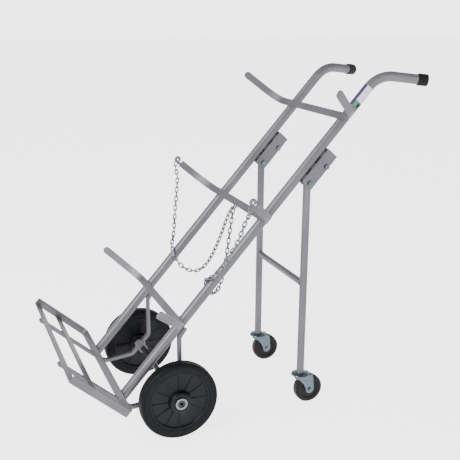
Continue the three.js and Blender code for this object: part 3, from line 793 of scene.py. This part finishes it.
def add_channel(name, sign):
    """Bent plate on the rail's back that takes the leg between its two sides."""
    half = CHANNEL_HALF - CHANNEL_PLATE / 2
    front, back = CHANNEL_Y[0] + CHANNEL_PLATE / 2, CHANNEL_Y[1]
    z0, z1 = CHANNEL_Z
    plan = [rails(sign * RAIL_X + x, y, (z0 + z1) / 2)
            for x, y in ((-half, back), (-half, front), (half, front), (half, back))]
    points = round_route(plan, CHANNEL_BEND, 5)
    verts, faces = sweep(points, box_section(z1 - z0, CHANNEL_PLATE), up=UP_RAIL)
    piece(f"channel_{name}_plate", verts, faces, PAINT, "frame", [f"leg_channel_{name}"], edge=0.7,
          angle=40, slot="grey_paint")


def add_leg(name, sign):
    x = sign * RAIL_X
    top = FOOT_Z + ((LEG_Y - LEG_R - FOOT_Y) * COS - LEG_CLEAR) / SIN
    points = [world(x, LEG_Y, LEG_FOOT), world(x, LEG_Y, top)]
    verts, faces = pipe(points, LEG_R, LEG_R - LEG_WALL, 40)
    piece(f"leg_{name}_tube", verts, faces, PAINT, "leg_frame", [f"leg_{name}"], slot="grey_paint")


def add_brace():
    half = RAIL_X - LEG_R - GAP
    points = [world(-half, LEG_Y, BRACE_Z), world(half, LEG_Y, BRACE_Z)]
    verts, faces = pipe(points, BRACE_R, BRACE_R - BRACE_WALL, 40)
    piece("brace_tube", verts, faces, PAINT, "leg_frame", ["leg_brace"], slot="grey_paint")


# ---- castors ------------------------------------------------------------------------------------
CASTOR_R, CASTOR_TRAIL, CASTOR_BOLT_R = 50, 30, 4
FORK_HALF, FORK_PLATE, FORK_TOP, FORK_TIP_R = 20, 3, 104, 15
FORK_START = 0.4                       # radians below level where the round tip begins
FOLD_Y, FOLD_SLOPE, FOLD_TURN = 8, 0.13, 0.14   # where the front of a fork leg turns inwards
CROWN_FRONT, CROWN_BACK = -27, 38
CROWN_HALF, CROWN_NARROW = 17.2, 12.2


def add_castor(name, sign):
    """Race on the leg's foot, pressed fork under it, and the wheel on its bolt."""
    x, y = sign * RAIL_X, LEG_Y
    base = world(x, y, 0)
    cup = lathe([(0, 97.2), (7.4, 97.2), (8, 97.8), (8, 100.2), (7.6, 100.7), (5, 100.7),
                 (5, 104.3), (27.5, 104.3), (30.3, 105.0), (31, 106.2), (30.4, 107.8),
                 (28.6, 108.8), (22, 109.4), (17, 110.3), (15, 110.6), (15, 112.7), (0, 112.7)],
                base, UP, 56)
    piece(f"castor_race_{name}", *cup, ZINC, "leg_frame", [f"castor_cup_{name}"],
          slot="zinc_plate", angle=50)
    collar = lathe([(12.75, 113.0), (14.2, 113.0), (14.6, 113.6), (14.0, 114.6), (12.75, 115.4)],
                   base, UP, 48, closed=True)
    piece(f"castor_collar_{name}", *collar, WELD, "leg_frame", slot="grey_paint")

    curved_front = [(CROWN_FRONT, FORK_TOP), (CROWN_FRONT, 98), (-8, 88), (6, 72), (13, 58)]
    tip = [(CASTOR_TRAIL + FORK_TIP_R * math.cos(a), CASTOR_R + FORK_TIP_R * math.sin(a))
           for a in [math.pi + FORK_START + (math.pi - FORK_START) * k / 12 for k in range(13)]]
    outline = curved_front + tip + [(42, 92), (CROWN_BACK, FORK_TOP), (FOLD_Y, FORK_TOP)]
    insets = [max(0, FOLD_TURN * (FOLD_Y + (FORK_TOP - b) * FOLD_SLOPE - a)) for a, b in outline]
    n = len(outline)
    wing = [0, 1, 2, 3, 4, 5, n - 1]
    flat = list(range(5, n))
    inside = FORK_HALF - FORK_PLATE
    verts, faces = [], []
    for x0, inward in ((-FORK_HALF, 1), (-inside, 1), (inside, -1), (FORK_HALF, -1)):
        verts += [world(x + x0 + inward * inset, y + a, b)
                  for (a, b), inset in zip(outline, insets)]
    for lo, hi in ((0, 1), (2, 3)):
        for panel in (wing, flat):
            faces.append(tuple(lo * n + k for k in reversed(panel)))
            faces.append(tuple(hi * n + k for k in panel))
        for k in range(n):
            m = (k + 1) % n
            faces.append((lo * n + k, lo * n + m, hi * n + m, hi * n + k))
    crown = [(-CROWN_NARROW, CROWN_FRONT), (CROWN_NARROW, CROWN_FRONT), (CROWN_HALF, FOLD_Y),
             (CROWN_HALF, CROWN_BACK), (-CROWN_HALF, CROWN_BACK), (-CROWN_HALF, FOLD_Y)]
    corners = len(crown)
    first = len(verts)
    for z in (FORK_TOP - FORK_PLATE, FORK_TOP):
        verts += [world(x + a, y + b, z) for a, b in crown]
    faces += [tuple(first + k for k in reversed(range(corners))),
              tuple(first + corners + k for k in range(corners))]
    faces += [(first + k, first + (k + 1) % corners, first + corners + (k + 1) % corners,
               first + corners + k) for k in range(corners)]
    piece(f"fork_{name}_plate", verts, faces, ZINC, f"fork_{name}", [f"castor_fork_{name}"],
          edge=0.9, angle=40, slot="zinc_plate")

    centre = world(x, y + CASTOR_TRAIL, CASTOR_R)
    half = [(6.0, 15.6), (11, 15.6), (12, 15.0), (12.6, 12.6), (14, 12.0), (31, 11.6), (33, 12.4),
            (34.2, 14.4), (36, 15.0), (45, 15.0), (47.6, 13.8), (49.3, 11.0), (CASTOR_R, 6.5)]
    wheel = lathe(mirrored(half), centre, X_AXIS, 72, closed=True)
    piece(f"castor_tread_{name}", *wheel, GRIP, f"castor_{name}", [f"castor_wheel_{name}"],
          slot="black_rubber", angle=45)
    add_bolt(f"castor_{name}", f"fork_{name}", centre, FORK_HALF, CASTOR_BOLT_R)


# ---- main wheels --------------------------------------------------------------------------------
WHEEL_X = 234
RIBS, RIB_HALF = 12, 1.8
RIB_ROWS = [(34, 15.0), (60, 13.4), (84, 13.4), (91, 16.0)]   # radius, and half the rib's depth


def wheel_rib(centre, side, radial):
    """A rib through the wheel's web, along one radius."""
    across = side.cross(radial)
    verts, faces = [], []
    for r, h in RIB_ROWS:
        for s in (-1, 1):
            for w in (-1, 1):
                verts.append(centre + (radial * r + side * s * h + across * w * RIB_HALF) * MM)
    for k in range(0, 4 * (len(RIB_ROWS) - 1), 4):
        for p, q in ((0, 1), (1, 3), (3, 2), (2, 0)):
            faces.append((k + p, k + q, k + 4 + q, k + 4 + p))
    faces += [(0, 2, 3, 1), (12, 13, 15, 14)]
    return verts, faces


def add_wheel(name, sign):
    """Tyre, ribbed centre and hub bush, and the spacer and clip that keep them on the axle."""
    side = X_AXIS * sign
    centre = world(sign * WHEEL_X, 0, WHEEL_R)
    body = f"wheel_{name}"
    half = [(98, 19), (99.5, 20), (103, 20.6), (108, 21.4), (113, 21.9), (116.6, 22.0),
            (117.2, 21.2), (118.4, 21.2), (119, 21.9), (121.5, 21.2), (124, 19.2), (125.8, 16.2),
            (126.6, 13.6), (125.4, 13.2), (125.4, 11.8), (126.8, 11.4), (WHEEL_R, 7.0),
            (125.6, 6.6), (125.6, 5.2), (WHEEL_R, 4.8)]
    tyre = lathe(mirrored(half), centre, side, 128, closed=True)
    piece(f"tyre_{name}_tread", *tyre, TYRE, body, [f"tyre_{name}"], slot="tyre_rubber", angle=48)

    face = [(19.8, 31), (24, 32), (30, 31.6), (33, 30), (35, 26), (36.5, 18), (38, 13.0),
            (41, 11.5), (84, 11.5), (88, 12.2), (90.5, 14.0), (91.5, 17.6), (92.6, 18.8),
            (94.5, 19.2), (97.0, 19.2), (97.7, 18.4)]
    back = [(19.8, 28), (30, 28), (33, 27), (35, 25)] + face[5:]
    parts = [lathe(mirrored(face, back), centre, side, 96, closed=True)]
    for i in range(RIBS):
        a = TURN * i / RIBS
        parts.append(wheel_rib(centre, side, Vector((0, math.sin(a), math.cos(a)))))
    verts, faces = merged(*parts)
    piece(f"wheel_{name}_moulding", verts, faces, WHEEL, body, [f"wheel_centre_{name}"],
          slot="wheel_plastic", angle=40)

    hub = world(0, 0, WHEEL_R)
    bush = [(AXLE_HOLE, 205), (19.0, 205), (19.5, 205.5), (19.5, 269.2), (18.8, 270), (12.8, 270),
            (12.0, 269.3), (12.0, 264), (AXLE_HOLE, 264)]
    piece(f"bush_{name}_steel", *lathe(bush, hub, side, 64, closed=True), STEEL, body,
          [f"hub_bush_{name}"], slot="bright_steel", angle=40)
    spacer = [(AXLE_HOLE, 185.4), (13.6, 185.4), (14, 185.8), (14, 204.2), (13.6, 204.6),
              (AXLE_HOLE, 204.6)]
    piece(f"spacer_{name}_steel", *lathe(spacer, hub, side, 48, closed=True), STEEL, "frame",
          [f"axle_spacer_{name}"], slot="bright_steel", angle=40)
    clip = [(AXLE_HOLE, 264.3), (11.5, 264.3), (11.5, 265.8), (AXLE_HOLE, 265.8)]
    piece(f"clip_{name}_ring", *lathe(clip, hub, side, 48, closed=True), DARK_STEEL, "frame",
          [f"axle_clip_{name}"], slot="bright_steel")


def add_axle():
    profile = [(5.5, -268), (8.8, -268), (9.5, -267.3), (9.5, 267.3), (8.8, 268), (5.5, 268)]
    axle = lathe(profile, world(0, 0, WHEEL_R), X_AXIS, 48, closed=True)
    piece("axle_bar", *axle, DARK_STEEL, "frame", ["axle"], slot="bright_steel", angle=40)


# ---- label --------------------------------------------------------------------------------------
LABEL_ROWS, LABEL_COLUMNS = 50, 30
LABEL_Z = (1150, 1260)
LABEL_WRAP = (math.radians(-125), math.radians(50))
LABEL_LIFT = (0.15, 0.55)              # of the film's two faces off the rail
# The green band's lower part, on its last third round the rail, takes a near-black green: painted
# shade.
LABEL_FOOT, BAND_TOP, SHADE_TOP = 0.28, 0.46, 0.42   # shares of the label's height
STRIPE_SHARE, FOOT_STRIPE, SHADE_FROM = 0.42, 0.3, 0.68   # shares of its way round


def label_kind(up, across):
    """Which of the label's materials shows at a share of its height and of its way round; the
    green band's last third round the rail gets painted shade.
    """
    if up < LABEL_FOOT:
        return PAINT if across > FOOT_STRIPE else STRIPE
    if across < STRIPE_SHARE:
        return STRIPE
    if up < BAND_TOP:
        # painted shade: the band's last third round the rail, low down, is drawn in a near-black
        # green
        return PAINTED_SHADE if across > SHADE_FROM and up < SHADE_TOP else BAND
    return FILM


def add_label():
    """Film wrapped round the right rail, in plain bands of colour, with painted shade on the green
    band where it turns away from the lamps.
    """
    materials = [FILM, STRIPE, BAND, PAINTED_SHADE, PAINT]
    rows, columns = LABEL_ROWS, LABEL_COLUMNS
    (z0, z1), (start, stop) = LABEL_Z, LABEL_WRAP
    verts, faces, kinds = [], [], []
    for lift in LABEL_LIFT:
        radius = RAIL_R + lift
        for i in range(rows + 1):
            z = z0 + (z1 - z0) * i / rows
            for k in range(columns + 1):
                a = start + (stop - start) * k / columns
                verts.append(rails(RAIL_X + radius * math.cos(a), radius * math.sin(a), z))
    stride = columns + 1
    offset = (rows + 1) * stride
    for i in range(rows):
        for k in range(columns):
            a = i * stride + k
            b = a + offset
            faces += [(a, a + stride, a + stride + 1, a + 1),
                      (b, b + 1, b + stride + 1, b + stride)]
            shown = label_kind((i + 0.5) / rows, (k + 0.5) / columns)
            kinds += [0, materials.index(shown)]
    edges = [(i * stride + k, stride) for i in range(rows) for k in (0, columns)]
    edges += [(i * stride + k, 1) for k in range(columns) for i in (0, rows)]
    for a, step in edges:
        faces.append((a, a + offset, a + step + offset, a + step))
        kinds.append(0)
    label = piece("label_film_sheet", verts, faces, materials, "frame", ["label"],
                  slot="label_vinyl")
    for polygon, kind in zip(label.data.polygons, kinds):
        polygon.material_index = kind


# ---- welds --------------------------------------------------------------------------------------
RIPPLE = 0.8                           # between two rings of a weld's mesh
CRADLE_WELD, TRAY_WELD, RIM_WELD, LUG_WELD, BRACE_WELD = 2.1, 1.6, 1.7, 1.7, 1.9   # radii
# Runs on each flank of a rail: across and behind its middle, heights up it, and radius.
RAIL_WELDS = [
    (10.5, -14.6, (1.5, 9, 17, 23.5), 2.3),
    (10.5, 14.9, (896, 904, 912, 920), 2.2),
    (10.5, 14.9, (942, 950, 958, 966), 2.2),
    (10.5, 14.9, (990, 998, 1006, 1014), 2.2),
    (7.875, 17.2, (267, 278, 289, 298), 2.0),
]


def bead(points, radius):
    """A weld run: a low rippled bead along the points."""
    length = sum((b - a).length for a, b in zip(points, points[1:])) / MM
    count = max(8, int(length / RIPPLE))
    even, _ = smooth_path(points, count)
    scales = []
    for i in range(count):
        edge = min(i, count - 1 - i) / 3.0
        size = min(1.0, 0.35 + 0.65 * edge) * (0.88 + 0.16 * abs(math.sin(i * 0.9)))
        size *= random.uniform(0.95, 1.05)
        scales.append((size, size))
    return sweep(even, circle(radius, 10), scales=scales)


def add_welds():
    """Runs where bars, channels, stays, lugs and the brace meet the tubes and each other."""
    frame_beads, leg_beads = [], []
    lug_y, lug_z = LUG_END
    for _, sign in SIDES:
        x = sign * RAIL_X
        for z, _, _ in CRADLES.values():
            for end in (-FLAT_W / 2, FLAT_W / 2):
                run = [rails(x + dx, -15.4 + abs(dx) * 0.09, z + end) for dx in (-9, -4, 0, 4, 9)]
                frame_beads.append(bead(run, CRADLE_WELD))
        for flank in (-1, 1):
            for across, behind, heights, radius in RAIL_WELDS:
                run = [rails(x + flank * across, behind, z) for z in heights]
                frame_beads.append(bead(run, radius))
        for y in (TRAY_FRONT + FLAT_W / 2, TRAY_MID):
            for dx in (-7.3, 7.3):
                run = [rails(x + dx, y + d, -0.4) for d in (-9, -3, 3, 9)]
                frame_beads.append(bead(run, TRAY_WELD))
            run = [rails(sign * 319.4, y + d, 5.2) for d in (-10, -4, 4, 10)]
            frame_beads.append(bead(run, RIM_WELD))
        run = [world(sign * 170.5, lug_y + LUG_R * math.cos(a),
                     WHEEL_R + lug_z + LUG_R * math.sin(a))
               for a in [math.radians(60 + 25 * k) for k in range(6)]]
        frame_beads.append(bead(run, LUG_WELD))
        run = [world(sign * 165.2, LEG_Y + y, BRACE_Z + z) for y, z in circle(BRACE_R, 16)]
        leg_beads.append(bead(run + run[:1], BRACE_WELD))
    for beads, name, body in ((frame_beads, "frame_welds", "frame"),
                              (leg_beads, "leg_welds", "leg_frame")):
        verts, faces = merged(*beads)
        piece(name, verts, faces, WELD, body, slot="grey_paint", angle=70)


add_tray()
for cradle in CRADLES:
    add_cradle(cradle)
add_eye()
add_axle()
add_label()
add_brace()
for side_name, side_sign in SIDES:
    add_rail(side_name, side_sign)
    add_grip(side_name, side_sign)
    add_stay(side_name, side_sign)
    add_lug(side_name, side_sign)
    add_hook(side_name, side_sign)
    add_channel(side_name, side_sign)
    for bolt, place in (("pivot", PIVOT), ("lock", LOCK)):
        add_bolt(f"{bolt}_{side_name}", "frame", rails(side_sign * RAIL_X, *place), CHANNEL_HALF,
                 LEG_BOLT_R, LEAN)
    add_leg(side_name, side_sign)
    add_castor(side_name, side_sign)
    add_wheel(side_name, side_sign)
add_welds()

# ---- floor and light ----------------------------------------------------------------------------
def add_floor():
    """Pale floor that gives a little light of its own."""
    mesh = bpy.data.meshes.new("floor")
    size = 30.0
    mesh.from_pydata([(-size, -size, 0), (size, -size, 0), (size, size, 0), (-size, size, 0)], [],
                     [(0, 1, 2, 3)])
    material, tree, shader = new_material("floor_white")
    tone = ramp(tree, noise(tree, 1.5, 3), [(0.3, (0.38,)), (0.7, (0.40,))])
    tree.links.new(tone, shader.inputs["Base Color"])
    shader.inputs["Roughness"].default_value = 0.9
    shader.inputs["Emission Color"].default_value = (1.0, 1.0, 1.0, 1.0)
    shader.inputs["Emission Strength"].default_value = 3.1
    mesh.materials.append(material)
    floor = bpy.data.objects.new("floor", mesh)
    bpy.context.scene.collection.objects.link(floor)


def add_light(name, position, target, size, power):
    """Soft rectangular lamp, aimed at a point."""
    data = bpy.data.lights.new(name, "AREA")
    data.shape = "RECTANGLE"
    data.size, data.size_y = size
    data.energy = power
    light = bpy.data.objects.new(name, data)
    bpy.context.scene.collection.objects.link(light)
    aim = Vector(target) - Vector(position)
    light.matrix_world = (Matrix.Translation(position)
                          @ aim.to_track_quat("-Z", "Y").to_matrix().to_4x4())


def add_sky():
    """Studio light from all round, bright near the floor and dim overhead."""
    sky = bpy.data.worlds.new("studio")
    sky.use_nodes = True
    tree = sky.node_tree
    direction = tree.nodes.new("ShaderNodeTexCoord")
    height = tree.nodes.new("ShaderNodeSeparateXYZ")
    tree.links.new(direction.outputs["Generated"], height.inputs["Vector"])
    glow = ramp(tree, height.outputs["Z"], [(0.0, (1.0,)), (0.06, (0.9,)), (0.4, (0.20,))])
    background = tree.nodes["Background"]
    tree.links.new(glow, background.inputs["Color"])
    background.inputs["Strength"].default_value = 3.8
    bpy.context.scene.world = sky


add_floor()
add_light("key", (1.4, -3.1, 2.7), (0, 0, 0.4), (1.4, 1.9), 255)
add_light("fill", (3.4, 1.0, 2.4), (0, -0.3, 0.4), (1.2, 1.2), 30)
add_light("top", (-0.2, -2.4, 3.6), (0, 0, 0.4), (1.6, 1.6), 80)
add_sky()
